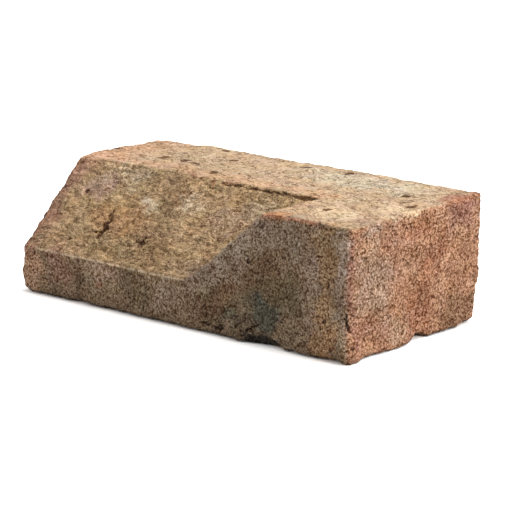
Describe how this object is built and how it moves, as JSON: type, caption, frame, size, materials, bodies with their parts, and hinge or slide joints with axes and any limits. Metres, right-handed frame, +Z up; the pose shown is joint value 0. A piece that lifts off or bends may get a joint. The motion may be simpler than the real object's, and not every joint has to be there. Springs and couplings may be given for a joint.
{
  "type": "plinth stop brick",
  "caption": "Clay brick with a sloping plinth face that is stopped by a climbing ramp at a square full-height end.",
  "frame": {"origin": "middle of the bed, the underside that the brick lies on", "axes": "+X along the brick from the plain end to the full-height end, +Y from the sloping front to the back, +Z up from the bed"},
  "size_m": [0.2174, 0.1024, 0.065],
  "materials": {
    "fired_clay": "rough, sanded and unglazed, kiln-flashed from cream and rose to umber"
  },
  "bodies": {
    "root": {"plinth_brick": "fired_clay"}
  },
  "joints": []
}
